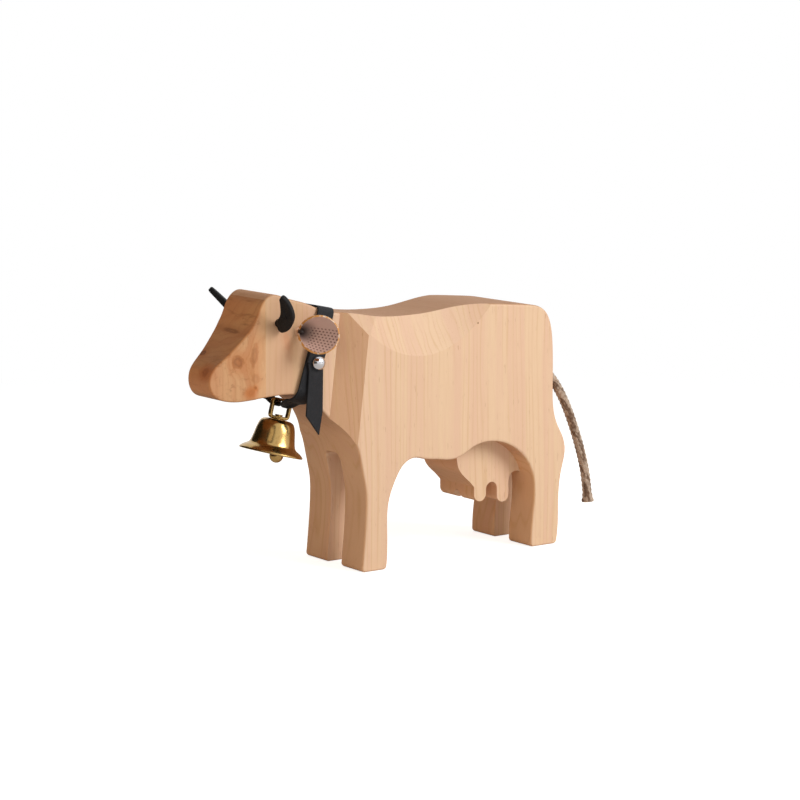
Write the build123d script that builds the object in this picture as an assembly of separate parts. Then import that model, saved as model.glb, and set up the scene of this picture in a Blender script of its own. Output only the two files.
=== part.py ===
from build123d import *
import math
import os

os.makedirs("parts", exist_ok=True)

# A standing cow, profile-cut from a thick board. Millimetres and degrees.
# +X runs from the nose to the rump, -Y is the cow's left, and the feet stand on Z = 0.

# Board and outline
body_length = 209.4
body_height = 142.3
board_thickness = 52.0
edge_round = 1.2
foot_round = 2.0
overrun = 30.0
front_shares = [
    (0.375, 0), (0.383, 0.12), (0.387, 0.21), (0.386, 0.295), (0.376, 0.37), (0.366, 0.435),
    (0.343, 0.505), (0.307, 0.56), (0.27, 0.61), (0.235, 0.64), (0.157, 0.649), (0.116, 0.645),
    (0.074, 0.638), (0.039, 0.642),
]
face_shares = [
    (0.039, 0.642), (0.014, 0.659), (0, 0.706), (0.007, 0.746), (0.023, 0.772), (0.046, 0.802),
    (0.077, 0.85), (0.098, 0.887), (0.113, 0.926), (0.127, 0.97), (0.155, 1),
]
back_shares = [
    (0.155, 1), (0.192, 0.987), (0.25, 0.962), (0.295, 0.935), (0.335, 0.923), (0.364, 0.919),
    (0.412, 0.907),
    (0.474, 0.896), (0.531, 0.894), (0.588, 0.897), (0.646, 0.908), (0.703, 0.918),
    (0.755, 0.919), (0.827, 0.911), (0.885, 0.903), (0.914, 0.893), (0.934, 0.873),
    (0.948, 0.836), (0.957, 0.76),
]
rear_shares = [
    (0.957, 0.76), (0.959, 0.583), (0.963, 0.502), (0.976, 0.446), (0.991, 0.406),
    (1, 0.358), (0.99, 0.28), (0.982, 0.21), (0.98, 0.085), (0.973, 0),
]
underside_shares = [
    (0.891, 0), (0.896, 0.125), (0.9, 0.197), (0.897, 0.26), (0.877, 0.327), (0.841, 0.377),
    (0.798, 0.406), (0.758, 0.414), (0.717, 0.405), (0.684, 0.382), (0.65, 0.366), (0.6, 0.372),
    (0.557, 0.381), (0.533, 0.388), (0.509, 0.378), (0.475, 0.316), (0.456, 0.245), (0.451, 0.14),
    (0.447, 0),
]

# Slots that part the left legs from the right ones
slot_width = 12.6
slot_round = 3.5
front_slot_shares = [(0.33, -0.1), (0.33, 0.408), (0.44, 0.408), (0.55, 0.33), (0.55, -0.1)]
hind_slot_shares = [(0.885, -0.1), (0.885, 0.27), (0.9, 0.323), (1.03, 0.323), (1.03, -0.1)]
leg_round = 1.2

# Udder, thinner than the board, its teats spaced forward from the hind leg
udder_thickness = 30.0
teat_radius = 3.85
teat_gap_radius = 3.6
rear_gap_radius = 4.85
teat_gap_top_share = 0.248
rear_gap_top_share = 0.278
front_teat_tip_share = 0.181
rear_teat_tip_share = 0.168
leg_front_share = 0.905
udder_front_shares = [(0.69, 0.4), (0.696, 0.35), (0.704, 0.308), (0.73, 0.267)]
udder_root_share = 0.44
teat_groove_width = 5.0
teat_groove_top_share = 0.212

# Head, neck and shoulders
neck_width = 33.0
muzzle_width = 19.8
taper_start_share = 0.105
taper_middle_share = 0.05
taper_middle_width = 25.8
shoulder_start_share = 0.326
shoulder_height_share = 0.703
shoulder_angle = 38.0
shoulder_lean = 7.0
bevel_low_share = 0.843
bevel_end_share = 0.54
bevel_angle = 33.0
scoop_radius = 110.0
scoop_tilt = 22.0
scoop_middle_share = 0.555
scoop_low_share = 0.752
stave_joint_share = 0.1355

# Horns, punched from thick leather, with directions for the left one
horn_thickness = 3.0
horn_root_shares = (0.1616, 0.893)
horn_across = Vector(0.577, -0.805, -0.139)
horn_face = Vector(-0.694, -0.393, -0.603)
horn_span = 11.4
horn_length = 21.8
horn_shares = [
    (0.349, -0.109), (0.205, -0.065), (0.152, 0.03), (0.158, 0.139), (0.21, 0.243), (0.32, 0.35),
    (0.416, 0.509), (0.45, 0.67), (0.466, 0.83), (0.473, 0.927), (0.604, 1), (0.741, 0.959),
    (0.874, 0.835), (0.969, 0.642), (1, 0.444), (0.947, 0.28), (0.807, 0.104), (0.601, -0.033),
]
right_horn_turn = -9.0
tang_shares = (0.456, 0.119)
tang_radius = 1.9
tang_length = 5.0
tang_start = 0.8
horn_hole_clearance = 0.08
hole_bottom_clearance = 0.3

# Ears, leather discs rolled to a cone that opens forward
ear_diameter = 22.0
ear_thickness = 1.2
ear_half_angle = 40.0
ear_root_shares = (0.225, 0.868)
ear_keel = Vector(0.55, -0.82, -0.11)
ear_axis = Vector(-0.09, -0.995, 0.04)
ear_root_radius = 2.2
ear_root_length = 5.0
ear_start = 1.2
ear_hole_clearance = 0.1

# Tail, a braided cord glued in a drilled hole
cord_diameter = 4.5
cord_hole_clearance = 0.1
radius_run_share = 0.45
tail_points = [
    (88.0, 0.0, 94.3), (101.5, 0.0, 94.3), (114.0, 0.4, 87.2), (124.0, 1.0, 74.0),
    (131.5, 1.2, 58.5), (137.3, 0.8, 42.0), (140.6, 0.0, 27.5), (141.5, -0.6, 14.0),
]

# Collar strap, its loop leaning back at the top
strap_width = 9.4
strap_thickness = 1.3
strap_lean = 17.5
strap_top_shares = (0.301, 0.937)
throat_share = 0.64
ring_room = 5.0
strap_clearance = 0.3
layer_gap = 0.1
top_corner_radius = 2.6
bottom_corner_share = 0.744
inner_end_drop = 20.9
layers_part_drop = 17.9
outer_layer_drop = 27.9
free_end_front = 6.3
free_end_width = 9.2
free_end_front_length = 26.4
free_end_tip_length = 35.9
free_end_rear_length = 27.0
free_end_tip_share = 0.7

# Rivet
rivet_cap_diameter = 7.0
rivet_cap_height = 1.7
rivet_post_diameter = 2.8
rivet_base_thickness = 0.9
rivet_hole_clearance = 0.05
rivet_socket_depth = 0.8
rivet_drop = 25.8
rivet_back = 6.67

# Bell loop, its ring hung on the strap where that curls to an arch
arch_radius = 4.2
arch_angle = 150.0
arch_length = 3.0
curl_end_share = 0.43
ring_clearance = 0.2
ring_bar = 1.6
ring_depth = 2.4
ring_below = 3.0
ring_round = 1.5
bell_tilt = 15.0

# Bell
bell_radius = 16.1
bell_height = 17.3
bell_wall = 0.9
flare_shares = [(1, 0.046), (0.9, 0.13), (0.765, 0.21), (0.7, 0.29), (0.66, 0.46), (0.61, 0.7), (0.56, 0.84)]
crown_shares = [(0.56, 0.84), (0.5, 0.935), (0.4, 0.985), (0.28, 1)]

# Stud, riveted through the ring and the crown, with an eye for the clapper
stud_diameter = 2.4
stud_clearance = 0.05
stud_head_diameter = 3.8
stud_head_height = 0.8
stud_shoulder_height = 0.6
eye_radius = 1.5
eye_wire = 1.0
clapper_ring_radius = 1.5
clapper_wire = 1.0
clapper_play = 0.1
clapper_length = 14.0
clapper_ball_diameter = 7.0
clapper_rod_diameter = 1.6


# How a bar stands on the point that places it
upward = (Align.CENTER, Align.CENTER, Align.MIN)
downward = (Align.CENTER, Align.CENTER, Align.MAX)


def place(along, up):
    """A point of the outline, from shares of the length and the height."""
    return ((along - 1 / 2) * body_length, up * body_height)


def places(shares):
    return [place(along, up) for along, up in shares]


def prism(curve, width):
    """A closed curve drawn in X and Z, extruded evenly to both sides of the middle plane."""
    return extrude(Plane.XZ.offset(-width / 2) * make_face(curve), amount=width)


def both_sides(left):
    return left + mirror(left, about=Plane.XZ)


def board_outline():
    """The whole outline but the udder: a curve over the back, one between the legs, and the feet."""
    over = front_shares + face_shares[1:] + back_shares[1:] + rear_shares[1:]
    top = Spline(*places(over))
    underside = Spline(*places(underside_shares))
    face = make_face(top + Line(top @ 1, underside @ 0) + underside + Line(underside @ 1, top @ 0))
    corners = [corner for corner in face.vertices() if corner.Y < edge_round]
    return fillet(corners, foot_round).edges()


def rounded(slab):
    """Rounds the edges on both faces of a slab."""
    faces = slab.faces().filter_by(Plane.XZ).sort_by(Axis.Y)
    return fillet(faces[0].edges() + faces[-1].edges(), edge_round)


def shoulder_wedge():
    """What is cut away in front of the two shoulder facets, over the whole thickness."""
    start, height = place(shoulder_start_share, shoulder_height_share)
    slope = math.tan(math.radians(shoulder_angle))
    lean = math.tan(math.radians(shoulder_lean))
    half = board_thickness / 2 + overrun
    tip = start - neck_width / 2 / slope - height * lean
    corner = tip + half / slope
    front = -body_length / 2 - 2 * overrun
    plan = Polyline((tip, 0), (corner, half), (front, half), (front, -half), (corner, -half), close=True)
    tall = body_height + overrun
    return extrude(make_face(plan), amount=tall / math.cos(math.radians(shoulder_lean)), dir=(lean, 0, 1))


def head_taper():
    """What is cut away beside the narrowing head, on the left."""
    start = place(taper_start_share, 0)[0]
    middle = place(taper_middle_share, 0)[0]
    nose = place(0, 0)[0]
    side = ThreePointArc(
        (start, -neck_width / 2), (middle, -taper_middle_width / 2), (nose - edge_round, -muzzle_width / 2)
    )
    around = Polyline(side @ 1, (nose - edge_round, -board_thickness), (start, -board_thickness), side @ 0)
    return extrude(make_face(side + around), amount=body_height + overrun)


def back_scoop():
    """A wide round recess below the back, on the left, that leans into the board."""
    middle, low = place(scoop_middle_share, scoop_low_share)
    frame = Location((middle, -board_thickness / 2, low), (-scoop_tilt, 0, 0))
    bar = Cylinder(scoop_radius, 2 * body_height)
    return frame * Pos(0, -scoop_radius, 0) * bar


def shoulder_bevel():
    """The flat bevel above the left shoulder."""
    start = place(shoulder_start_share, 0)[0]
    end, low = place(bevel_end_share, bevel_low_share)
    block = Box(end - start, overrun, body_height, align=(Align.MIN, Align.MAX, Align.CENTER))
    return Location((start, -board_thickness / 2, low), (-bevel_angle, 0, 0)) * block


def leg_slots():
    cutters = []
    for shares in (front_slot_shares, hind_slot_shares):
        cutter = prism(Polyline(*places(shares), close=True), slot_width)
        tops = [
            edge for edge in cutter.edges().filter_by(Axis.Y, reverse=True)
            if edge.center().Z > body_height / 4 and abs(edge.tangent_at(0).X) > abs(edge.tangent_at(0).Z)
        ]
        cutters.append(fillet(tops, slot_round))
    return cutters


def slot_edges(board):
    """The edges of the slots round each leg, from the slot's top at its front over the sole to its rear."""
    chosen = []
    for edge in board.edges():
        middle = edge.center()
        inner = abs(abs(middle.Y) - slot_width / 2) < edge_round / 10
        if inner and middle.Z < body_height / 4:
            chosen.append(edge)
    return chosen


def udder():
    """The udder's plate, from the arch down to two teats and a gap before the hind legs."""
    leg_front = place(leg_front_share, 0)[0]
    rear_gap = leg_front - rear_gap_radius
    rear_teat = rear_gap - rear_gap_radius - teat_radius
    teat_gap = rear_teat - teat_radius - teat_gap_radius
    front_teat = teat_gap - teat_gap_radius - teat_radius
    rear_gap_middle = rear_gap_top_share * body_height - rear_gap_radius
    rear_teat_middle = rear_teat_tip_share * body_height + teat_radius
    teat_gap_middle = teat_gap_top_share * body_height - teat_gap_radius
    front_teat_middle = front_teat_tip_share * body_height + teat_radius
    root = udder_root_share * body_height
    curve_start = place(*udder_front_shares[0])
    front_end = (front_teat - teat_radius, teat_gap_middle + teat_gap_radius / 2)
    front = Spline(*places(udder_front_shares), front_end)
    teat_side = Line(front @ 1, (front_teat - teat_radius, front_teat_middle))
    first = CenterArc((front_teat, front_teat_middle), teat_radius, 180, 180)
    first_side = Line(first @ 1, (front_teat + teat_radius, teat_gap_middle))
    between = CenterArc((teat_gap, teat_gap_middle), teat_gap_radius, 180, -180)
    second_side = Line(between @ 1, (rear_teat - teat_radius, rear_teat_middle))
    second = CenterArc((rear_teat, rear_teat_middle), teat_radius, 180, 180)
    last_side = Line(second @ 1, (rear_teat + teat_radius, rear_gap_middle))
    last = CenterArc((rear_gap, rear_gap_middle), rear_gap_radius, 180, -180)
    top = Polyline(last @ 1, (leg_front, root), (curve_start[0], root), curve_start)
    curve = front + teat_side + first + first_side + between + second_side + second + last_side + last + top
    return prism(curve, udder_thickness) - teat_groove(front_teat - 2 * teat_radius, leg_front)


def teat_groove(start, end):
    """A round-topped groove along the middle that parts the left teats from the right ones."""
    radius = teat_groove_width / 2
    middle = teat_groove_top_share * body_height - radius
    section = Pos(0, middle) * Circle(radius) + Pos(0, middle / 2) * Rectangle(teat_groove_width, middle)
    return Pos(start, 0, 0) * extrude(Plane.YZ * section, amount=end - start)


def left_of(shares):
    """A point on the left face of the neck."""
    along, up = place(*shares)
    return Vector(along, -neck_width / 2, up)


def horn_plane():
    return Plane(origin=left_of(horn_root_shares), x_dir=horn_across, z_dir=horn_face)


def tang_middle():
    """The point of the left horn's plate where its tang starts, straight into the wood."""
    across, along = tang_shares
    return (horn_plane() * Pos(across * horn_span, along * horn_length, 0)).position


def horn_hole():
    """A drilled hole that takes the tang of the left horn."""
    middle = tang_middle()
    start, end = -neck_width / 2 - overrun, -neck_width / 2 + tang_length + hole_bottom_clearance
    return along_y(tang_radius + horn_hole_clearance, start, end, middle=(middle.X, middle.Z))


def left_horn():
    points = [(across * horn_span, along * horn_length) for across, along in horn_shares]
    plate = extrude(make_face(Spline(*points, periodic=True)), amount=horn_thickness / 2, both=True)
    middle = tang_middle()
    start, end = middle.Y + tang_start, -neck_width / 2 + tang_length
    return horn_plane() * plate + along_y(tang_radius, start, end, middle=(middle.X, middle.Z))


def right_horn():
    """The left horn's mirror image, turned a little in its own hole."""
    middle = tang_middle()
    place_there = Pos(middle.X, 0, middle.Z)
    turn = place_there * Rot(0, right_horn_turn, 0) * place_there.inverse()
    return turn * mirror(left_horn(), about=Plane.XZ)


def ear_plane(side):
    """Stands at an ear's root, z out along its cone; side is -1 on the cow's left and 1 on its right."""
    along, up = place(*ear_root_shares)
    root = (along, side * neck_width / 2, up)
    out = Vector(ear_axis.X, side * abs(ear_axis.Y), ear_axis.Z)
    return Plane(origin=root, x_dir=out.cross(ear_keel), z_dir=out)


def ear_hole(side):
    depth = ear_root_length + hole_bottom_clearance
    bar = Cylinder(ear_root_radius + ear_hole_clearance, depth + overrun / 2, align=upward)
    return ear_plane(side) * Pos(0, 0, -depth) * bar


def ear(side):
    """A cone's shell about the ear's axis, trimmed to the round of the disc, with its pinched root."""
    plane = ear_plane(side)
    slope = math.tan(math.radians(ear_half_angle))
    across = ear_thickness / math.cos(math.radians(ear_half_angle))
    wall = Polyline(
        (0, ear_start), (ear_start * slope, ear_start), (ear_diameter * slope, ear_diameter),
        (ear_diameter * slope - across, ear_diameter), (0, across / slope), close=True,
    )
    shell = plane * revolve(Plane.XZ * make_face(wall), axis=Axis.Z)
    keel = Vector(ear_keel.X, side * abs(ear_keel.Y), ear_keel.Z).normalized()
    cup = shell & (Pos(*(plane.origin + keel * (ear_diameter / 2))) * Sphere(ear_diameter / 2))
    root = Cylinder(ear_root_radius, ear_root_length + ear_root_radius / slope, align=upward)
    return cup + plane * Pos(0, 0, -ear_root_length) * root


def tail_hole():
    start, way = Vector(tail_points[0]), Vector(tail_points[1]) - Vector(tail_points[0])
    bar = Cylinder(cord_diameter / 2 + cord_hole_clearance, overrun, align=upward)
    return Plane(origin=start, z_dir=way) * bar


def tail_cord():
    """Straight runs joined by arcs as large as the runs beside them allow."""
    points = [Vector(point) for point in tail_points]
    runs = [after - before for before, after in zip(points, points[1:])]
    radii = []
    for before, after in zip(runs, runs[1:]):
        half_turn = math.radians(before.get_angle(after)) / 2
        radii.append(radius_run_share * min(before.length, after.length) / math.tan(half_turn))
    path = FilletPolyline(*points, radius=radii)
    section = Plane(origin=points[0], z_dir=runs[0]) * Circle(cord_diameter / 2)
    tube = sweep(section, path=path)
    print("tail radii", [round(radius, 1) for radius in radii])
    inside = board_rear() - points[0].X
    print("tail length", round(path.length, 1), "from the rump", round(path.length - inside, 1))
    print("tail volume", round(tube.volume, 1), "section times length", round(section.area * path.length, 1))
    return tube


def board_rear():
    return place(rear_shares[0][0], 0)[0]


def wooden_board():
    """The whole board, still in one piece, with every cut and hole."""
    outline = board_outline()
    trunk = rounded(prism(outline, board_thickness)) - shoulder_wedge()
    start, height = place(shoulder_start_share, shoulder_height_share)
    reach = start + body_height * math.tan(math.radians(shoulder_lean))
    head = (prism(outline, neck_width) & ahead_of(reach)) - both_sides(head_taper())
    head = fillet(head_edges(head, reach), edge_round)
    board = trunk + head
    board -= both_sides(back_scoop())
    board -= both_sides(shoulder_bevel())
    board += udder()
    for cutter in leg_slots():
        board -= cutter
    board = fillet(slot_edges(board), leg_round)
    board -= both_sides(horn_hole())
    board = board - ear_hole(-1) - ear_hole(1)
    return board - tail_hole()


def ahead_of(x):
    """A block that holds all of the cow ahead of an upright plane."""
    size = (2 * body_length, 2 * board_thickness, 2 * (body_height + overrun))
    return Pos(x, 0, 0) * Box(*size, align=(Align.MAX, Align.CENTER, Align.CENTER))


def head_edges(head, reach):
    """The long edges along the sides of the head, but not those where it runs into the trunk."""
    chosen = []
    for edge in head.edges():
        middle = edge.center()
        across = abs(edge.tangent_at(1 / 2).Y) > 1 / 2
        behind = abs(middle.X - reach) < edge_round / 2
        if not across and not behind and edge.length > neck_width / 2:
            chosen.append(edge)
    return chosen


def split_board(board):
    """The board's two staves, glued on an upright joint across the head."""
    joint = place(stave_joint_share, 0)[0]
    return board - ahead_of(joint), board & ahead_of(joint)


def strap_plane():
    """The plane of the collar's loop: x runs to the cow's right and y runs up the slant."""
    along, up = place(*strap_top_shares)
    lean = math.radians(strap_lean)
    return Plane(origin=(along, 0, up), x_dir=(0, 1, 0), z_dir=(math.cos(lean), 0, -math.sin(lean)))


def strap_ribbon(*corners, radii):
    """A ribbon of the strap's thickness along a rounded path through corners in the loop's plane."""
    line = trace(FilletPolyline(*corners, radius=radii), line_width=strap_thickness)
    return extrude(strap_plane() * line, amount=strap_width / 2, both=True)


def strap_sides():
    """Where the middle of the strap's thickness lies: far side, inner and outer layer, top and bottom."""
    half = strap_thickness / 2
    far = neck_width / 2 + strap_clearance + half
    inner = -neck_width / 2 - strap_clearance - rivet_base_thickness - half
    outer = inner - strap_thickness - layer_gap
    return far, inner, outer, strap_clearance + half, -strap_drop() - half


def strap_drop():
    """How far down its slant the strap hangs: past the throat, with room for the bell's ring."""
    neck_depth = (strap_top_shares[1] - throat_share) * body_height
    return neck_depth / math.cos(math.radians(strap_lean)) + ring_room


def curl_end():
    """Half the stretch of the strap that isn't flat."""
    return curl_end_share * strap_sides()[0]


def bell_axis():
    """The middle of the strap's arch, about which the bell swings."""
    lean = math.radians(strap_lean)
    along, up = place(*strap_top_shares)
    drop = strap_drop() + arch_radius
    return Vector(along - drop * math.sin(lean), 0, up - drop * math.cos(lean))


def arch_section():
    """The strap's section where it is curled, about the bell's axis, in X and Z of the slanted frame."""
    start = 90 - arch_angle / 2
    outer = CenterArc((0, 0), arch_radius, start, arch_angle)
    inner = CenterArc((0, 0), arch_radius - strap_thickness, start + arch_angle, -arch_angle)
    return make_face(outer + Line(outer @ 1, inner @ 0) + inner + Line(inner @ 1, outer @ 0))


def strap_arch():
    """The curled middle of the strap, with a stretch on each side that flattens out."""
    frame = Location(tuple(bell_axis()), (0, strap_lean, 0))
    curled = Plane.XZ * arch_section()
    flat = Plane.XZ * Pos(0, arch_radius - strap_thickness / 2) * Rectangle(strap_width, strap_thickness)
    middle = Pos(0, arch_length / 2, 0) * extrude(curled, amount=arch_length)
    near_curled = Pos(0, -arch_length / 2, 0) * curled
    near_flat = Pos(0, -curl_end(), 0) * flat
    near = loft([near_curled.face(), near_flat.face()], ruled=True)
    return frame * (middle + both_sides(near))


def rivet_place():
    along, up = place(*strap_top_shares)
    return along - rivet_back, up - rivet_drop


def free_end():
    """The strap's loose end, which hangs plumb from the rivet and is cut to a point."""
    x, z = rivet_place()
    outer = strap_sides()[2]
    front = x - free_end_front
    rear = front + free_end_width
    tip = front + free_end_width * free_end_tip_share
    sheet = Polyline(
        (front, z), (rear, z), (rear, z - free_end_rear_length), (tip, z - free_end_tip_length),
        (front, z - free_end_front_length), close=True,
    )
    return Pos(0, outer, 0) * prism(sheet, strap_thickness)


def along_y(radius, start, end, middle=None):
    """A round bar parallel to Y, at the rivet where no middle is given."""
    x, z = middle or rivet_place()
    bar = Cylinder(radius, end - start, align=upward)
    return Location((x, start, z), (-90, 0, 0)) * bar


def collar_strap():
    far, inner, outer, top, bottom = strap_sides()
    flat_start = curl_end()
    corner = bottom_corner_share * (far - flat_start)
    first = strap_ribbon((inner, -inner_end_drop), (inner, bottom), (-flat_start, bottom), radii=[corner])
    second = strap_ribbon(
        (flat_start, bottom), (far, bottom), (far, top), (-far, top), (outer, -layers_part_drop),
        (outer, -outer_layer_drop),
        radii=[corner, top_corner_radius, top_corner_radius, top_corner_radius],
    )
    strap = first + second + strap_arch() + free_end()
    hole = rivet_post_diameter / 2 + rivet_hole_clearance
    return strap - along_y(hole, outer - overrun, inner + strap_thickness)


def rivet():
    """The rivet's domed cap outside the strap, and its hollow post with the base behind it."""
    far, inner, outer, top, bottom = strap_sides()
    front = outer - strap_thickness / 2
    back = inner + strap_thickness / 2
    half, rise = rivet_cap_diameter / 2, rivet_cap_height
    ball = (half**2 + rise**2) / 2 / rise
    x, z = rivet_place()
    dome = (Pos(x, front - rise + ball, z) * Sphere(ball)) & along_y(half, front - rise, front)
    post = rivet_post_diameter / 2
    cap = dome - along_y(post + rivet_hole_clearance, front - rivet_socket_depth, front)
    base = along_y(half, back, back + rivet_base_thickness)
    shank = along_y(post, front - rivet_socket_depth, back)
    bore = along_y(post / 2, front - rivet_socket_depth, back - strap_thickness)
    return cap, base + shank - bore


def bell_frame():
    """Stands at the bell's axis, tilted with the bell's mouth forward, with z up through the crown."""
    return Location(tuple(bell_axis()), (0, bell_tilt, 0))


def crown_top():
    return -ring_below - ring_bar


def bell_hanger():
    """A cast ring, its window just wide enough for the strap's arch."""
    window = arch_radius + ring_clearance
    half = window + ring_bar
    outside = Pos(0, 0, (half + crown_top()) / 2) * Box(2 * half, ring_depth, half - crown_top())
    outside = fillet(outside.edges().filter_by(Axis.Y), ring_round)
    inside = Pos(0, 0, (window - ring_below) / 2) * Box(2 * window, overrun, window + ring_below)
    hole = Cylinder(stud_diameter / 2 + stud_clearance, overrun, align=downward)
    return outside - inside - hole


def bell_shell():
    """The flared bell, revolved, with an even wall."""
    rim = crown_top() - bell_height

    def wall_points(shares, inset):
        return [(radius * bell_radius - inset, rim + up * bell_height) for radius, up in shares]

    def drop(points, amount):
        return [(radius, up - amount) for radius, up in points]

    lip = Line((bell_radius, rim), wall_points(flare_shares, 0)[0])
    flare = Spline(*wall_points(flare_shares, 0))
    crown = Spline(*wall_points(crown_shares, 0))
    roof = Line(crown @ 1, (0, crown_top()))
    middle = Line((0, crown_top()), (0, crown_top() - bell_wall))
    inner_crown = Spline(*drop(wall_points(crown_shares[1:], bell_wall / 2), bell_wall))
    under_roof = Line(middle @ 1, inner_crown @ 1)
    inner_flare = Spline(*wall_points(flare_shares, bell_wall))
    bend = Line(inner_crown @ 0, inner_flare @ 1)
    inner_lip = Line(inner_flare @ 0, (bell_radius - bell_wall, rim))
    foot = Line((bell_radius - bell_wall, rim), (bell_radius, rim))
    section = make_face(
        lip + flare + crown + roof + middle + under_roof + inner_crown + bend + inner_flare + inner_lip + foot
    )
    shell = revolve(Plane.XZ * section, axis=Axis.Z)
    return shell - Pos(0, 0, crown_top()) * Cylinder(stud_diameter / 2 + stud_clearance, overrun)


def eye_middle():
    return crown_top() - bell_wall - stud_shoulder_height - eye_radius


def bell_stud():
    """Riveted over inside the ring, with a shoulder under the crown and an eye below it."""
    top = -ring_below
    under = crown_top() - bell_wall
    head = Pos(0, 0, top) * Cylinder(stud_head_diameter / 2, stud_head_height, align=upward)
    pin = Pos(0, 0, top) * Cylinder(stud_diameter / 2, top - under, align=downward)
    shoulder = Pos(0, 0, under) * Cylinder(stud_head_diameter / 2, stud_shoulder_height, align=downward)
    eye = Location((0, 0, eye_middle()), (0, 90, 0)) * Torus(eye_radius, eye_wire / 2)
    return head + pin + shoulder + eye


def clapper_pivot():
    """The middle of the eye's lowest wire."""
    return bell_frame() * Pos(0, 0, eye_middle() - eye_radius)


def clapper():
    """A ring hung in the eye, a rod and a ball, hanging plumb."""
    drop = clapper_ring_radius - clapper_wire / 2 - eye_wire / 2 - clapper_play
    ring_low = drop + clapper_ring_radius
    ring = Location((0, 0, -drop), (90, 0, 0)) * Torus(clapper_ring_radius, clapper_wire / 2)
    rod = Pos(0, 0, -ring_low) * Cylinder(
        clapper_rod_diameter / 2, clapper_length - ring_low, align=downward
    )
    ball = Pos(0, 0, -clapper_length) * Sphere(clapper_ball_diameter / 2)
    return Pos(*clapper_pivot().position) * (ring + rod + ball)


body_block, muzzle_stave = split_board(wooden_board())
nodes = {"body_block": body_block, "muzzle_stave": muzzle_stave}
nodes["left_horn"] = left_horn()
nodes["right_horn"] = right_horn()
nodes["left_ear"] = ear(-1)
nodes["right_ear"] = ear(1)
nodes["collar_strap"] = collar_strap()
nodes["rivet_cap"], nodes["rivet_post"] = rivet()
nodes["bell_hanger"] = bell_frame() * bell_hanger()
nodes["bell_stud"] = bell_frame() * bell_stud()
nodes["bell_shell"] = bell_frame() * bell_shell()
nodes["clapper"] = clapper()
nodes["tail_cord"] = tail_cord()
print("bell swings about", [round(value, 2) for value in bell_axis()])
print("clapper swings about", [round(value, 2) for value in clapper_pivot().position])

for name, shape in nodes.items():
    print(name, len(shape.solids()), round(shape.volume))
    export_step(shape, f"parts/{name}.step")
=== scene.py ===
import math
import bmesh
import bpy
import numpy as np
from mathutils import Euler, Matrix, Vector


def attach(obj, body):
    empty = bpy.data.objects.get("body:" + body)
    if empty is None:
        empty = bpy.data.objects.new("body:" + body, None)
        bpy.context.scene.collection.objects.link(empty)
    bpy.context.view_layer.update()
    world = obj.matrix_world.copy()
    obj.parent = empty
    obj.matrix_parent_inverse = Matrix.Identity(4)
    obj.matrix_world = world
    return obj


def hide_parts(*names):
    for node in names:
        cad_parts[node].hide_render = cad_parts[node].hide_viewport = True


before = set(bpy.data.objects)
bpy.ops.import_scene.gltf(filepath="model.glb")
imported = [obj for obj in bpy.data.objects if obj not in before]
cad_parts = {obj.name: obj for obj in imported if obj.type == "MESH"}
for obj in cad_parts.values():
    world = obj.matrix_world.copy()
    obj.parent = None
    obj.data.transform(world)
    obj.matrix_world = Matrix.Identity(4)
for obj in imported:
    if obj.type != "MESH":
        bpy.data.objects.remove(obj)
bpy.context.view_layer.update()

mm = 0.001
weldDistance = 2e-6
print("frame loaded:", len(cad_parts), "nodes")

# Camera, at the photograph's angle and frame
shot = {
    "azimuth": 35.51, "pitch": 8.61, "place": (-0.72355, -1.03594, 0.27368), "lens": 112.5, "sensor": 36,
}


def makeCamera():
    data = bpy.data.cameras.new("shotCamera")
    data.lens, data.sensor_width = shot["lens"], shot["sensor"]
    data.clip_start, data.clip_end = 0.01, 50
    camera = bpy.data.objects.new("shotCamera", data)
    camera.location = shot["place"]
    camera.rotation_euler = Euler((math.radians(90 - shot["pitch"]), 0, math.radians(-shot["azimuth"])))
    bpy.context.collection.objects.link(camera)
    bpy.context.scene.camera = camera


makeCamera()

# Helpers for meshes: grids of points, profiles carried along paths


def smoothCurve(points, count):
    # Catmull-Rom curve through the points: each stretch blends its four nearest points by cubic weights
    points = np.array(points, float)
    padded = np.vstack([2 * points[0] - points[1], points, 2 * points[-1] - points[-2]])
    place = np.linspace(0, len(points) - 1, count)
    start = np.minimum(place.astype(int), len(points) - 2)
    t = (place - start)[:, None]
    before, a, b, after = (padded[start + step] for step in range(4))
    linear = b - before
    square = 2 * before - 5 * a + 4 * b - after
    cubic = 3 * a - before - 3 * b + after
    return 0.5 * (2 * a + linear * t + square * t**2 + cubic * t**3)


def eased(value, low, high):
    # 0 at low, 1 at high, with a soft start and end
    share = np.clip((value - low) / (high - low), 0, 1)
    return share * share * (3 - 2 * share)


def cellCorners(grid):
    # The four corners of every cell of a grid, in order round the cell
    here, onward = slice(None, -1), slice(1, None)
    return np.stack([grid[here, here], grid[onward, here], grid[onward, onward], grid[here, onward]], 2)


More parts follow.
